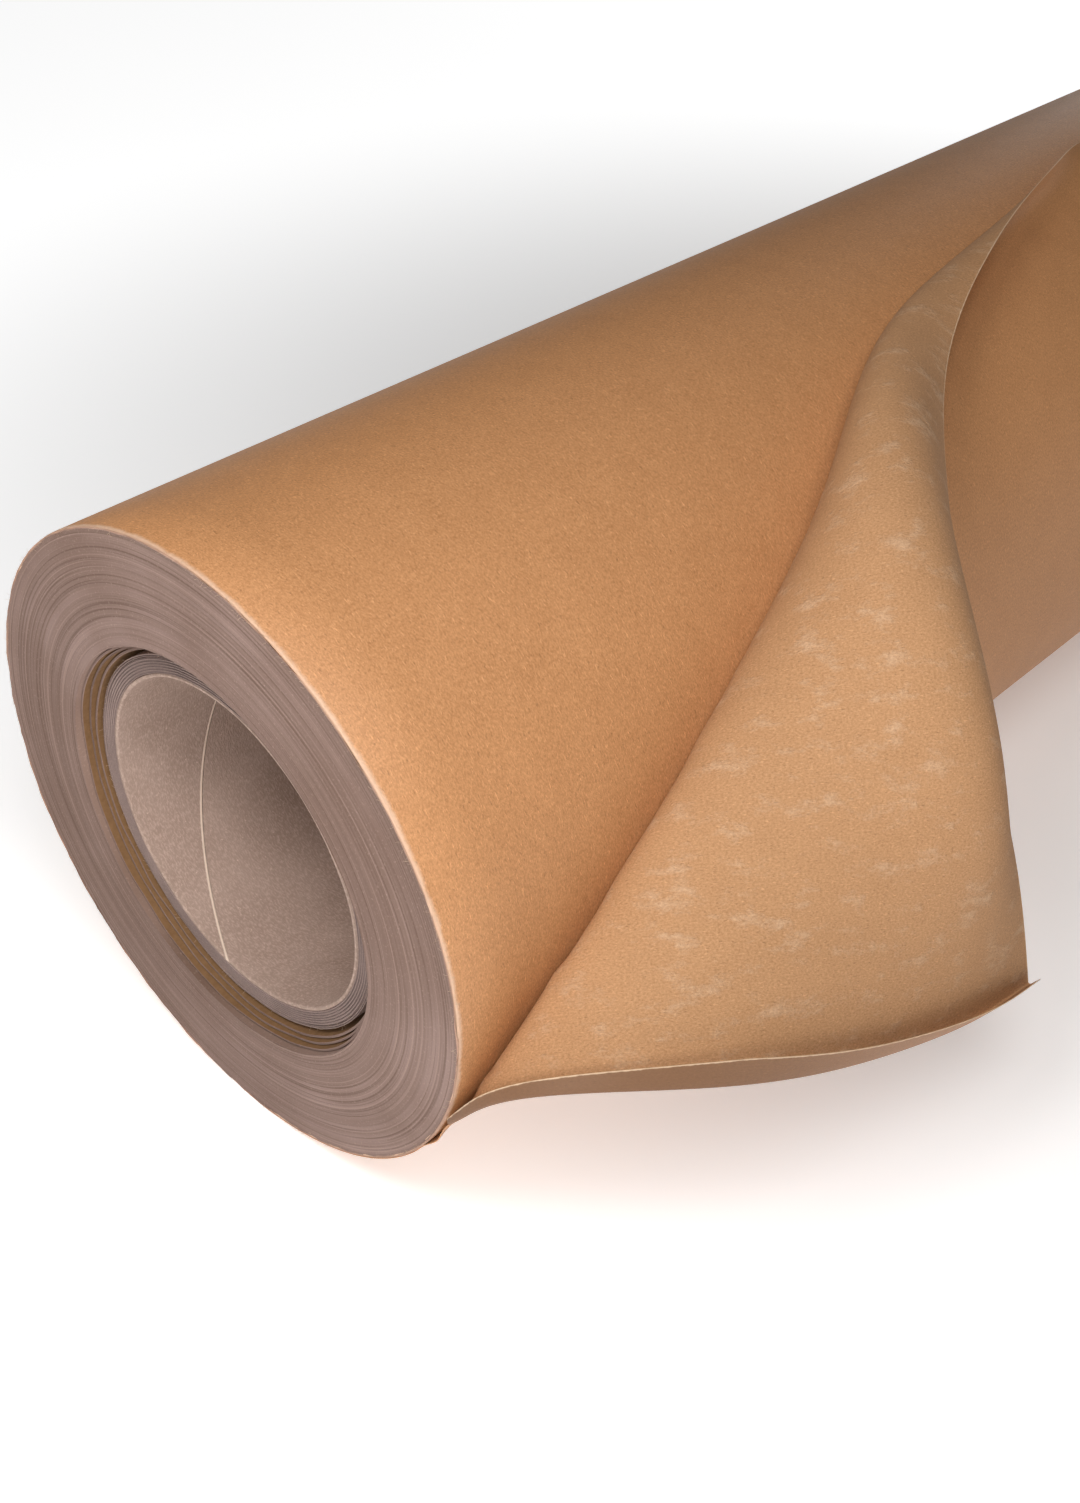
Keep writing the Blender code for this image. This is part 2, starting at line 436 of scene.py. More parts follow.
def grown(name, tree, identifiers, sizes, start=None):
    """The plain mesh object that a tree makes from these sizes."""
    base = start or bpy.data.objects.new(name + "_base", bpy.data.meshes.new(name + "_base"))
    if not start:
        bpy.context.scene.collection.objects.link(base)
    modifier = base.modifiers.new("grown", "NODES")
    modifier.node_group = tree
    for size_name, size in sizes.items():
        modifier[identifiers[size_name]] = size
    view = bpy.context.evaluated_depsgraph_get()
    mesh = bpy.data.meshes.new_from_object(base.evaluated_get(view), depsgraph=view)
    base.modifiers.remove(modifier)
    if not start:
        bpy.data.objects.remove(base)
    mesh.name = name
    obj = bpy.data.objects.new(name, mesh)
    bpy.context.scene.collection.objects.link(obj)
    return obj


def wound_edges_tree():
    inputs = {
        "Inner radius": "Float",
        "Outer radius": "Float",
        "Turns": "Int",
        "Steps round": "Int",
        "Place": "Float",
        "Facing": "Float",
        "Groove": "Float",
        "Wander": "Float",
        "Seed": "Float",
        "Material": "Material",
    }
    tree, given, identifiers = new_tree("wound_edges", inputs)
    rows = given["Turns"] * 2.0 + 1.0
    counts = {"Size X": 1.0, "Size Y": 1.0, "Vertices X": rows, "Vertices Y": given["Steps round"] + 1.0}
    grid = node(tree, "GeometryNodeMeshGrid", {}, counts)
    across, over, _ = parts_of(tree, node(tree, "GeometryNodeInputPosition"))
    row = ((across + 0.5) * given["Turns"] * 2.0).math("ROUND")
    share = over + 0.5
    turn = row / 2.0 + share
    angle = share * (2.0 * math.pi)
    pitch = (given["Outer radius"] - given["Inner radius"]) / (given["Turns"] + 1.0)
    radius = turn * pitch + given["Inner radius"]
    side, up = angle.math("COSINE"), angle.math("SINE")
    uneven = noise(tree, vector(tree, side * 0.9, up * 0.9, turn * 0.83 + given["Seed"]), 1.0, 3.0, 0.8)
    slow = noise(tree, vector(tree, side * 0.7, up * 0.7, turn * 0.07 + given["Seed"]), 1.0, 2.0)
    outermost = (turn / given["Turns"]).between(0.955, 1.0)
    torn = noise(tree, vector(tree, side * 9.0, up * 9.0, turn * 0.5), 1.0, 4.0, 0.65) - 0.42
    groove = (row.math("PINGPONG", 1.0) - 1.0) * given["Groove"]
    wander = (uneven - 0.5) * given["Wander"] + (slow - 0.5) * given["Wander"] * 2.0
    out = groove + wander + outermost * torn * 0.0016
    along = given["Place"] + given["Facing"] * out
    place = vector(tree, along, side * radius * -1.0, up * radius + AXIS_HEIGHT)
    moved = node(tree, "GeometryNodeSetPosition", {}, {"Geometry": grid, "Position": place})
    joined = node(tree, "GeometryNodeMergeByDistance", {}, {"Geometry": moved, "Distance": 0.000002})
    smooth = node(tree, "GeometryNodeSetShadeSmooth", {}, {"Geometry": joined})
    end_tree(tree, smooth, given["Material"])
    return tree, identifiers


def face_along(obj, direction):
    """Turns a nearly flat mesh over if its faces look the wrong way along X."""
    normals = np.array([polygon.normal.x * polygon.area for polygon in obj.data.polygons])
    if normals.sum() * direction < 0:
        obj.data.flip_normals()


edges_tree, edges_inputs = wound_edges_tree()
for name, place, facing, seed in (
    ("front_turn_edges", WEB_START, -1.0, 0.0),
    ("far_turn_edges", WEB_END, 1.0, 40.0),
):
    sizes = {
        "Inner radius": MAIN_INNER,
        "Outer radius": ROLL_RADIUS,
        "Turns": TURNS_SHOWN,
        "Steps round": ROUND_STEPS,
        "Place": place,
        "Facing": facing,
        "Groove": 0.00004,
        "Wander": 0.00020,
        "Seed": seed,
        "Material": edge_finish,
    }
    edges = grown(name, edges_tree, edges_inputs, sizes)
    face_along(edges, facing)
    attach(edges, "roll")


# ---------------------------------------------------------------------------------------------------
# The wound web's surface. The outside of the last full turn, machine-smoothed brown kraft paper with
# fine fibres that run round the roll, drawn tight, and the inside of the first main turn.

KRAFT_DEEP = (0.375, 0.160, 0.054)
KRAFT_PALE = (0.725, 0.362, 0.160)


def kraft(tree, place, tint=(1.0, 1.0, 1.0), marks=0.0):
    """Kraft paper. place's x runs across the machine direction, and its y and z along it."""
    across, along, up = parts_of(tree, place)
    grain_place = vector(tree, across * 1.6, along, up)
    cloud = noise(tree, grain_place, 90.0, 4.0, 0.6)
    grain = noise(tree, grain_place, 1700.0, 3.0, 0.7)
    fibre_place = vector(tree, across * 4.0, along * 0.9, up * 0.9)
    dark_fibre = noise(tree, fibre_place, 900.0, 2.0, 0.6).between(0.60, 0.72)
    light_fibre = noise(tree, fibre_place, 720.0, 2.0, 0.6).between(0.60, 0.72)
    deep, pale = ((r * tint[0], g * tint[1], b * tint[2]) for r, g, b in (KRAFT_DEEP, KRAFT_PALE))
    share = (grain * 2.2 - 0.60) * 0.75 + cloud * 0.25
    colour = colour_mix(tree, share, deep, pale)
    colour = colour_mix(tree, dark_fibre * 0.45, colour, tuple(0.45 * c for c in deep))
    colour = colour_mix(tree, light_fibre * 0.40, colour, tuple(min(1.35 * c, 1.0) for c in pale))
    height = grain * 0.00007 + light_fibre * 0.00003
    if marks:
        mark_place = vector(tree, across * 2.6, along * 1.2, up)
        mark = noise(tree, mark_place, 75.0, 7.0, 0.70).between(0.50, 0.70)
        colour = colour_mix(tree, mark * (grain * 0.8 + 0.3) * marks, colour, (0.82, 0.60, 0.42))
        height = height + mark * 0.00015
    rough = 0.48 + grain * 0.16
    return {"Base Color": colour, "Roughness": rough, "Height": height, "Specular IOR Level": 0.5}


def roll_kraft(tree):
    place = node(tree, "ShaderNodeTexCoord", {}, {}, output=3)
    values = kraft(tree, place)
    _, along, radius, _ = around_axis(tree)
    scuffed = noise(tree, place, 190.0, 5.0, 0.7)
    worn = (along - scuffed * 0.0022).between(WEB_START + 0.0002, WEB_START - 0.0009)
    colour = colour_mix(tree, worn * 0.60, values["Base Color"], (0.78, 0.56, 0.42))
    values["Base Color"] = colour
    return values


roll_finish = finish("kraft_on_roll", roll_kraft)


surface = ring(
    "wound_surface",
    [
        (WEB_START + 0.0004, ROLL_RADIUS),
        (WEB_END - 0.0004, ROLL_RADIUS),
        (WEB_END, ROLL_RADIUS - 0.0003),
        (WEB_END - 0.0002, ROLL_RADIUS - 0.0010),
        (WEB_START + 0.0002, ROLL_RADIUS - 0.0010),
        (WEB_START, ROLL_RADIUS - 0.0003),
    ],
    320,
    roll_finish,
    along_steps=40,
)
inside = ring(
    "first_main_turn",
    [
        (WEB_START + 0.0001, MAIN_INNER),
        (WEB_START, MAIN_INNER + 0.0002),
        (WEB_END, MAIN_INNER + 0.0002),
        (WEB_END - 0.0001, MAIN_INNER),
    ],
    256,
    edge_finish,
    wave=ragged(31, 0.00008),
)
for turn_piece, slot_name in ((surface, "kraft_outside"), (inside, "turn_edges")):
    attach(turn_piece, "roll")
    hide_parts("main_turns")


# ---------------------------------------------------------------------------------------------------
# The loose sheet. The web's last turn, one sheet of kraft paper: it comes from under the roll, up the
# near side, and its front corner is peeled back over a diagonal fold. Paper bends but hardly stretches,
# so the corner's shape is found by relaxing a grid of nodes that keep their distances in the flat sheet.

WEB_WIDTH_MM = 600.0
SHEET_LENGTH_MM = 228.0

# The cut end isn't quite straight: distance from the front edge, then the sheet's length there.
CUT_LENGTH_MM = ((0, 228), (60, 224), (120, 218), (240, 216), (330, 222), (600, 222))
SHEET_RADIUS_MM = 71.85
SHEET_THICKNESS_MM = 0.16
AXIS_HEIGHT_MM = 72.0
JUNCTION_MM = 330.0
BENT_WIDTH_MM = 360.0
COARSE_STEP_MM = 6.0

# The fold: distance from the front edge of the web, then up the web from right under the roll.
FOLD_MM = ((0, 80), (9, 103), (29, 120), (53, 136), (94, 156), (181, 188), (234, 205), (330, 222))

# The fold's radius at distances from the front edge: pressed nearly flat there, and open further in.
FOLD_RADIUS_MM = ((0, 1.0), (60, 3.0), (180, 6.0), (330, 7.0))

# The cut end's place: distance along it from the loose corner, then a point from the front end, the
# axis and the floor.
CUT_END_MM = (
    (0, 118, -126, 39),
    (54, 111, -110, 92),
    (108, 134, -79, 125),
    (162, 172, -51, 140),
    (216, 219, -33, 148),
    (270, 271, -19, 149),
    (330, 330, -4, 144),
    (360, 360, -4, 144),
)

# How hard the sheet resists stretching, bending, leaving its cut end's place, and touching the roll.
STRETCH = 3.0
BENDING = 6.0
EDGE_PULL = 4.0
ROLL_PUSH = 25.0
KEEP_OFF_MM = 0.5
LONGEST_MOVE_MM = 5.0
DIRECTIONS = ((1, 0), (0, 1), (1, 1), (1, -1))


def smooth_through(stations, places):
    """Values at these places of a smooth curve through the stations' values."""
    stations = np.array(stations, float)
    at, values = stations[:, 0], stations[:, 1:]
    slopes = np.gradient(values, at, axis=0)
    k = np.clip(np.searchsorted(at, places, side="right") - 1, 0, len(at) - 2)
    gap = (at[k + 1] - at[k])[:, None]
    u = ((places - at[k]) / gap[:, 0])[:, None]
    start, end = values[k], values[k + 1]
    rise, run = slopes[k] * gap, slopes[k + 1] * gap
    cubic = (2 * start - 2 * end + rise + run) * u**3
    return cubic + (3 * end - 3 * start - 2 * rise - run) * u**2 + rise * u + start


def on_cylinder(along, up_web, radius=SHEET_RADIUS_MM):
    """The point of the tight web at this distance along the roll and up the web, in millimetres."""
    angle = up_web / SHEET_RADIUS_MM - math.pi / 2
    side, up = -radius * np.cos(angle), AXIS_HEIGHT_MM + radius * np.sin(angle)
    return np.stack(np.broadcast_arrays(along, side, up), axis=-1)


def grid_run(direction, count):
    """For each node of a straight run of nodes, the slices that hold it all over the grid."""
    ds, dt = direction
    slices = []
    for k in range(count):
        rest = count - 1 - k
        rows = slice(k * ds, -rest * ds or None)
        if dt >= 0:
            columns = slice(k * dt, -rest * dt or None)
        else:
            columns = slice(rest, -k or None)
        slices.append((rows, columns))
    return slices


def lift_off(along):
    """How far up the web the sheet leaves the roll. Past the junction it never does."""
    fold = np.interp(along, *np.array(FOLD_MM, float).T)
    radius = np.interp(along, *np.array(FOLD_RADIUS_MM, float).T)
    return np.where(along >= JUNCTION_MM, 1.1 * SHEET_LENGTH_MM, fold - 1.3 * radius)


def relax(points, flat, rounds):
    """Moves the free nodes until the sheet keeps its flat lengths and bends as little as it can."""
    s, t = flat[..., 0], flat[..., 1]
    along = s[:, 0]
    step = along[1] - along[0]
    fold = np.interp(along, *np.array(FOLD_MM, float).T)
    free = (t > lift_off(s))[..., None].astype(float)
    edge = (along < JUNCTION_MM).astype(float)[:, None]
    edge_places = smooth_through(CUT_END_MM, along)
    crease = np.exp(-(((t - fold[:, None]) / 10.0) ** 2)) * np.exp(-s / 70.0)
    weight = (BENDING / step * (1.0 - 0.9 * crease))[..., None] ** 2
    pairs = []
    for a, b in (grid_run(direction, 2) for direction in DIRECTIONS):
        pairs.append((a, b, np.linalg.norm(flat[b] - flat[a], axis=-1, keepdims=True)))
    triples = [grid_run(d, 3) for d in DIRECTIONS]
    for _ in range(rounds):
        pull = np.zeros_like(points)
        stiff = []
        for a, b, length in pairs:
            gap = points[b] - points[a]
            now = np.linalg.norm(gap, axis=-1, keepdims=True)
            unit = gap / now
            force = STRETCH**2 * (now - length) * unit
            pull[b] += force
            pull[a] -= force
            stiff.append((a, b, unit))
        for a, b, c in triples:
            force = weight[b] * (points[a] - 2 * points[b] + points[c])
            pull[a] += force
            pull[b] -= 2 * force
            pull[c] += force
        pull[:, -1] += EDGE_PULL * edge * (points[:, -1] - edge_places)
        from_axis = points - np.array((0.0, 0.0, AXIS_HEIGHT_MM))
        from_axis[..., 0] = 0.0
        distance = np.linalg.norm(from_axis, axis=-1, keepdims=True)
        outward = from_axis / distance
        inside = (distance < SHEET_RADIUS_MM + KEEP_OFF_MM) * free
        pull += ROLL_PUSH * inside * (distance - SHEET_RADIUS_MM - KEEP_OFF_MM) * outward

        def stiffness(move):
            out = 0.02 * move
            for a, b, unit in stiff:
                force = STRETCH**2 * (unit * (move[b] - move[a])).sum(-1, keepdims=True) * unit
                out[b] += force
                out[a] -= force
            for a, b, c in triples:
                force = weight[b] * (move[a] - 2 * move[b] + move[c])
                out[a] += force
                out[b] -= 2 * force
                out[c] += force
            out[:, -1] += EDGE_PULL * edge * move[:, -1]
            out += ROLL_PUSH * inside * (outward * move).sum(-1, keepdims=True) * outward
            return out * free

        move = np.zeros_like(points)
        left = -pull * free
        way = left.copy()
        size = (left * left).sum()
        for _ in range(90):
            answer = stiffness(way)
            share = size / (way * answer).sum()
            move += share * way
            left -= share * answer
            new_size = (left * left).sum()
            if new_size < 1e-12:
                break
            way = left + new_size / size * way
            size = new_size
        longest = np.linalg.norm(move, axis=-1).max()
        points = points + move * min(1.0, LONGEST_MOVE_MM / longest)
    return points


def first_guess(flat):
    """The flat sheet wound on the roll, with the corner swung out on one smooth curve per column."""
    points = on_cylinder(flat[..., 0], flat[..., 1])
    along = flat[:, 0, 0]
    fold = np.interp(along, *np.array(FOLD_MM, float).T)
    ends = smooth_through(CUT_END_MM, along)
    for i, column in enumerate(along):
        if column >= JUNCTION_MM:
            continue
        up_web = flat[i, :, 1]
        foot = min(fold[i], up_web[-1] - 1.0)
        angle = foot / SHEET_RADIUS_MM - math.pi / 2
        base = on_cylinder(column, foot, SHEET_RADIUS_MM + 3.0)
        outward = np.array((0.0, -math.cos(angle), math.sin(angle)))
        onward = np.array((0.0, math.sin(angle), math.cos(angle)))
        leave = (0.8 * outward + 0.2 * onward) * 0.6 * (up_web[-1] - foot)
        arrive = ends[i] - base
        loose = up_web > foot
        w = ((up_web[loose] - foot) / (up_web[-1] - foot))[:, None]
        shape = (2 * w**3 - 3 * w**2 + 1) * base + (w**3 - 2 * w**2 + w) * leave
        points[i, loose] = shape + (3 * w**2 - 2 * w**3) * ends[i] + (w**3 - w**2) * arrive
        lifted = ~loose & (up_web > foot - 8.0)
        points[i, lifted] = on_cylinder(column, up_web[lifted], SHEET_RADIUS_MM + 1.0)
    return points


def finer(values):
    """The same smooth surface with a new node between each two."""
    for _ in range(2):
        padded = np.concatenate((3 * values[:1] - 3 * values[1:2] + values[2:3], values))
        padded = np.concatenate((padded, 3 * values[-1:] - 3 * values[-2:-1] + values[-3:-2]))
        between = (9 * (padded[1:-2] + padded[2:-1]) - padded[:-3] - padded[3:]) / 16
        out = np.empty((2 * len(values) - 1, *values.shape[1:]))
        out[::2] = values
        out[1::2] = between
        values = out.swapaxes(0, 1)
    return values


def flat_sheet(step):
    """The flat sheet's nodes about this far apart: distance from the front edge, and up the web."""
    along = np.linspace(0.0, BENT_WIDTH_MM, int(round(BENT_WIDTH_MM / step)) + 1)
    lengths = smooth_through(CUT_LENGTH_MM, along)
    shares = np.linspace(0.0, 1.0, int(round(SHEET_LENGTH_MM / step)) + 1)
    return np.stack(np.broadcast_arrays(along[:, None], lengths * shares), axis=-1)


flat = flat_sheet(COARSE_STEP_MM)
bent = relax(first_guess(flat), flat, 60)
flat = flat_sheet(COARSE_STEP_MM / 2)
bent = relax(finer(bent), flat, 16)
bent = finer(bent)
flat = flat_sheet(COARSE_STEP_MM / 4)

# Past the bent part the sheet lies on the roll as far as the other end.
rest_mm = np.linspace(BENT_WIDTH_MM, WEB_WIDTH_MM, 21)[1:]
rest_flat = flat[-1:].repeat(len(rest_mm), axis=0)
rest_flat[..., 0] = rest_mm[:, None]
bent = np.concatenate((bent, on_cylinder(rest_flat[..., 0], rest_flat[..., 1])))
flat = np.concatenate((flat, rest_flat))

# The loose corner's front margin was pressed over in storage: a narrow lip, bent over the inner side.
LIP_START_MM = 86.0
LIP_FULL_MM = 150.0
LIP_WIDTH_MM = 6.4
LIP_RADIUS_MM = 0.45


def pressed_lip(bent, flat):
    """The lip's rows, from its raw edge to the sheet's front edge, and their flat places."""
    rows = np.flatnonzero(flat[0, :, 1] > LIP_START_MM)
    up_web = flat[0, rows, 1]
    base = bent[0, rows]
    inward = bent[2, rows] - base
    inward /= np.linalg.norm(inward, axis=-1, keepdims=True)
    onward = np.gradient(base, axis=0)
    inner_side = np.cross(onward, inward)
    inner_side /= np.linalg.norm(inner_side, axis=-1, keepdims=True)
    grown = np.clip((up_web - LIP_START_MM) / (LIP_FULL_MM - LIP_START_MM), 0, 1)
    uneven = 0.25 * np.sin(up_web * 0.09 + 0.6)
    worn_off = np.clip((up_web - 196.0) / 32.0, 0, 1)
    width = 1.5 + (LIP_WIDTH_MM - 1.5) * grown**0.8 + uneven * grown - 2.6 * worn_off**2
    opening = np.radians(np.interp(up_web, (LIP_START_MM, 140, 190, 228), (40, 36, 40, 48)))
    columns = []
    for share in (0.0, 0.2, 0.4, 0.6, 0.8, 1.0):
        turned = share * (math.pi - opening)
        across, over = -np.sin(turned), 1 - np.cos(turned)
        place = base + LIP_RADIUS_MM * (across[:, None] * inward + over[:, None] * inner_side)
        columns.append((place, LIP_RADIUS_MM * turned))
    bend_end, bend_length = columns[-1]
    way = np.cos(opening)[:, None] * inward + np.sin(opening)[:, None] * inner_side
    for share in (0.33, 0.66, 1.0):
        length = share * (width - bend_length)
        columns.append((bend_end + length[:, None] * way, bend_length + length))
    columns = columns[:0:-1]
    points = np.array([place for place, _ in columns])
    places = np.array([np.stack((-length, up_web), axis=-1) for _, length in columns])
    return rows, points, places


def sheet_mesh(bent, flat, materials):
    """The sheet with its lip, one layer thick, its outer side up. Its UV map is its flat place."""
    rows, lip_points, lip_flat = pressed_lip(bent, flat)
    columns, height = bent.shape[:2]
    index = np.arange(columns * height).reshape(columns, height)
    lip_index = columns * height + np.arange(lip_points.size // 3).reshape(lip_points.shape[:2])
    lip_index = np.concatenate((lip_index, index[:1, rows]))
    faces = []
    for grid in (index, lip_index):
        corners = (grid[:-1, :-1], grid[1:, :-1], grid[1:, 1:], grid[:-1, 1:])
        faces.append(np.stack(corners, axis=-1).reshape(-1, 4))
    faces = np.concatenate(faces)
    points = np.concatenate((bent.reshape(-1, 3), lip_points.reshape(-1, 3))) / 1000.0
    points[:, 0] += WEB_START
    places = np.concatenate((flat.reshape(-1, 2), lip_flat.reshape(-1, 2)))
    from_cut = flat[:, -1:, 1] - flat[..., 1]
    lip_cut = lip_flat[:, -1:, 1] - lip_flat[..., 1]
    lip_raw = lip_flat[..., 0] - lip_flat[:1, :, 0]
    from_edge = np.concatenate((from_cut.ravel(), np.minimum(lip_cut, lip_raw).ravel()))
    obj = add_mesh("sheet", points, faces, materials)
    stored = obj.data.attributes.new("from_edge", "FLOAT", "POINT")
    stored.data.foreach_set("value", from_edge.astype(np.float32))
    middle = places[faces].mean(axis=1)
    stored = obj.data.attributes.new("is_loose", "INT", "FACE")
    stored.data.foreach_set("value", (middle[:, 1] > lift_off(middle[:, 0])).astype(np.int32))
    layer = obj.data.uv_layers.new(name="flat_sheet")
    corner_points = np.zeros(len(obj.data.loops), np.int32)
    obj.data.loops.foreach_get("vertex_index", corner_points)
    layer.data.foreach_set("uv", (places[corner_points] / 1000.0).astype(np.float32).ravel())
    return obj


def part_of_sheet(name, whole, is_loose):
    """The loose faces of the sheet, or those that lie on the roll, given the paper's thickness."""
    obj = bpy.data.objects.new(name, whole.data.copy())
    bpy.context.scene.collection.objects.link(obj)
    cut = bmesh.new()
    cut.from_mesh(obj.data)
    mark = cut.faces.layers.int["is_loose"]
    bmesh.ops.delete(cut, geom=[f for f in cut.faces if f[mark] != is_loose], context="FACES")
    for edge in cut.edges:
        edge.smooth = not edge.is_boundary
    cut.to_mesh(obj.data)
    cut.free()
    thick = obj.modifiers.new("paper", "SOLIDIFY")
    thick.thickness = SHEET_THICKNESS_MM / 1000.0
    thick.offset = 0.0
    thick.material_offset = 1
    view = bpy.context.evaluated_depsgraph_get()
    obj.data = bpy.data.meshes.new_from_object(obj.evaluated_get(view), depsgraph=view)
    obj.modifiers.clear()
    return obj


def raw_edge(tree, colour):
    """Lightens the colour in a frayed band along a raw edge."""
    distance = node(tree, "ShaderNodeAttribute", {"attribute_name": "from_edge"}, {}, output=2)
    place = node(tree, "ShaderNodeUVMap", {"uv_map": "flat_sheet"})
    frayed = distance + noise(tree, place, 700.0, 3.0) * 0.5
    return colour_mix(tree, frayed.between(0.60, 0.30) * 0.75, colour, (0.80, 0.58, 0.38))


def sheet_outside(tree):
    """The outer side. The lip has painted shade, darkest near the roll and fainter further up the web."""
    place = node(tree, "ShaderNodeUVMap", {"uv_map": "flat_sheet"})
    values = kraft(tree, place)
    across, up_web, _ = parts_of(tree, place)
    # Painted shade: the lip is darkened, most near the roll and less further up the web.
    lip_painted_shade = across.between(0.0, -0.0006) * (1.0 - up_web.between(0.13, 0.26) * 0.80)
    colour = colour_mix(tree, lip_painted_shade * 0.85, values["Base Color"], (0.130, 0.060, 0.026))
    values["Base Color"] = raw_edge(tree, colour)
    return values


def sheet_inside(tree):
    place = node(tree, "ShaderNodeUVMap", {"uv_map": "flat_sheet"})
    values = kraft(tree, place, tint=(0.860, 0.950, 1.060), marks=0.38)
    values["Base Color"] = raw_edge(tree, values["Base Color"])
    values["Roughness"] = 0.85
    return values


# A direction from the hinge towards the loose corner.
TOWARDS_CORNER = (0.064, -0.960, 0.272)
paper = [finish("kraft_sheet_outside", sheet_outside), finish("kraft_sheet_inside", sheet_inside)]
sheet = sheet_mesh(bent, flat, paper)
lying = part_of_sheet("lying_sheet", sheet, 0)
loose = part_of_sheet("loose_sheet", sheet, 1)
bpy.data.objects.remove(sheet)
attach(lying, "roll")
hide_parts("last_turn")
joint = frame["joints"][0]
pivot, axis = np.array(joint["pos_m"]), np.array(joint["axis"])
outward = np.array(TOWARDS_CORNER)
outward -= axis * (outward @ axis)
outward /= np.linalg.norm(outward)
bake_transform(loose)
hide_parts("loose_end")


# ---------------------------------------------------------------------------------------------------
# Loose fibres. Handling has torn short paper fibres out of the rims of the wound web and out of the
# core's ends. They are finer than a hair and stand at all angles.

RIM_FIBRES = 620


def fibres_tree():
    inputs = {
        "Count": "Int",
        "Radius": "Float",
        "Place": "Float",
        "Length": "Float",
        "Spread": "Float",
        "Seed": "Int",
        "Material": "Material",
    }
    tree, given, identifiers = new_tree("rim_fibres", inputs)
    circle = node(tree, "GeometryNodeMeshCircle", {}, {"Vertices": given["Count"], "Radius": 1.0})
    side, up, _ = parts_of(tree, node(tree, "GeometryNodeInputPosition"))

    def chance(salt, low, high):
        values = {2: low, 3: high, "Seed": given["Seed"] + salt}
        return node(tree, "FunctionNodeRandomValue", {"data_type": "FLOAT"}, values, output=1)

    radius = given["Radius"] - chance(1, 0.0, 1.0) * given["Spread"]
    place = vector(tree, given["Place"], side * radius, up * radius + AXIS_HEIGHT)
    rim = node(tree, "GeometryNodeSetPosition", {}, {"Geometry": circle, "Position": place})
    bow = {"Resolution": 3, "Start": (0.0, 0.0, 0.0), "Middle": (0.25, 0.0, 0.5), "End": (0.0, 0.0, 1.0)}
    line = node(tree, "GeometryNodeCurveQuadraticBezier", {}, bow)
    section = node(tree, "GeometryNodeCurvePrimitiveCircle", {}, {"Resolution": 3})
    thin = node(tree, "GeometryNodeTransform", {}, {"Geometry": section, "Scale": (0.025, 0.025, 0.025)})
    fibre = node(tree, "GeometryNodeCurveToMesh", {}, {"Curve": line, "Profile Curve": thin})
    turned = vector(tree, *(chance(salt, -2.6, 2.6) for salt in (2, 3, 4)))
    size = chance(5, 0.35, 1.0) * given["Length"]
    settings = {"Points": rim, "Instance": fibre, "Rotation": turned, "Scale": vector(tree, size, size, size)}
    placed = node(tree, "GeometryNodeInstanceOnPoints", {}, settings)
    end_tree(tree, placed, given["Material"])
    return tree, identifiers


def fibre_paper(tree):
    place = node(tree, "ShaderNodeTexCoord", {}, {}, output=3)
    colour = colour_mix(tree, noise(tree, place, 300.0), (0.42, 0.27, 0.16), (0.72, 0.56, 0.42))
    return {"Base Color": colour, "Roughness": 0.9}


fibre_finish = finish("fibre_paper", fibre_paper)
fibre_tree, fibre_inputs = fibres_tree()
for name, count, radius, place, seed in (
    ("front_rim_fibres", RIM_FIBRES, ROLL_RADIUS + 0.0001, WEB_START - 0.0001, 5),
    ("far_rim_fibres", RIM_FIBRES, ROLL_RADIUS + 0.0001, WEB_END + 0.0001, 17),
    ("front_core_fibres", 260, CORE_RADIUS, CORE_START, 29),
):
    sizes = {
        "Count": count,
        "Radius": radius,
        "Place": place,
        "Length": 0.0011,
        "Spread": 0.0009,
        "Seed": seed,
        "Material": fibre_finish,
    }
    fibres = grown(name, fibre_tree, fibre_inputs, sizes)
    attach(fibres, "roll")


# ---------------------------------------------------------------------------------------------------
# The floor, the lights and the camera. A pale floor with painted light: it glows, faintly near the roll and
# brighter further off, and the glow lights the roll as a lit table would; three soft lamps round the near end
# of the roll and one past its far end. The colours are shown plainly.

bpy.ops.mesh.primitive_plane_add(size=8.0)
floor = bpy.context.object
floor.name = "floor"


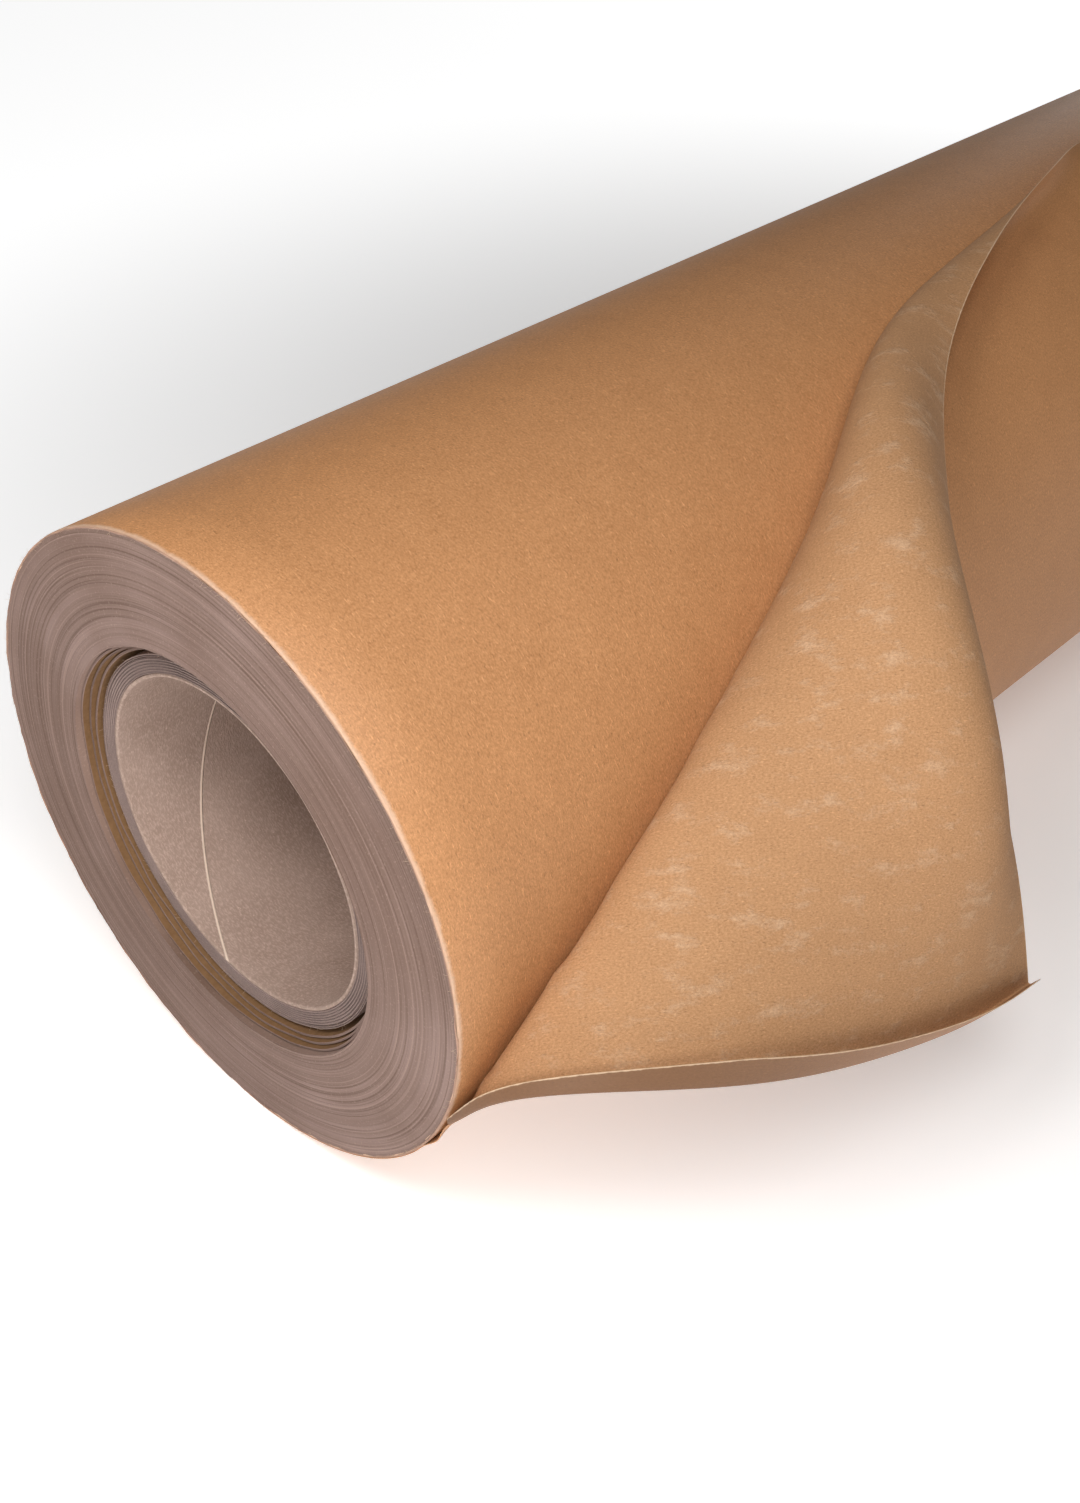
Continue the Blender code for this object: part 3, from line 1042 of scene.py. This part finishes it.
def pale_floor(tree):
    place = node(tree, "ShaderNodeTexCoord", {}, {}, output=3)
    colour = colour_mix(tree, noise(tree, place, 3.0), (0.88, 0.88, 0.88), (0.90, 0.90, 0.90))
    across, along, _ = parts_of(tree, place)
    # Painted light: the floor's glow, weak near the roll and strong further off.
    far = (across * across + along * along).math("SQRT").between(0.12, 0.55)
    painted_floor_light = {"Emission Color": colour_mix(tree, far, (0.28, 0.28, 0.28), (0.86, 0.86, 0.86))}
    painted_floor_light["Emission Strength"] = 1.0
    return {"Base Color": colour, "Roughness": 0.9, **painted_floor_light}


floor.data.materials.append(finish("pale_floor", pale_floor))


def soft_light(name, place, towards, size, power):
    lamp = bpy.data.lights.new(name, "AREA")
    lamp.shape = "DISK"
    lamp.size = size
    lamp.energy = power
    obj = bpy.data.objects.new(name, lamp)
    obj.location = place
    way = np.array(towards) - np.array(place)
    flat_way = math.hypot(way[0], way[1])
    obj.rotation_euler = (math.atan2(flat_way, -way[2]), 0.0, math.atan2(way[1], way[0]) - math.pi / 2)
    bpy.context.scene.collection.objects.link(obj)


NEAR_HALF = (-0.15, -0.05, 0.09)
soft_light("key", (-0.40, -0.25, 0.45), NEAR_HALF, 0.20, 0.99)
soft_light("top", (-0.50, -0.05, 0.50), NEAR_HALF, 0.20, 0.93)
soft_light("side", (-0.75, -0.25, 0.25), NEAR_HALF, 0.20, 1.05)
soft_light("far end", (1.00, 0.45, 0.22), (0.30, 0.0, 0.07), 0.30, 1.2)
bpy.context.scene.view_settings.view_transform = "Standard"

world = bpy.data.worlds.new("room")
world.use_nodes = True
background = world.node_tree.nodes["Background"]
background.inputs["Color"].default_value = (1.0, 1.0, 1.0, 1.0)
background.inputs["Strength"].default_value = 0.04
bpy.context.scene.world = world

lens = bpy.data.cameras.new("camera")
lens.lens = 41.05
lens.sensor_width = 36.0
camera = bpy.data.objects.new("camera", lens)
camera.location = (-0.4433, -0.2293, 0.3018)
camera.rotation_euler = (math.radians(90.0 - 37.70), 0.0, math.radians(43.77 - 90.0))
bpy.context.scene.collection.objects.link(camera)
bpy.context.scene.camera = camera
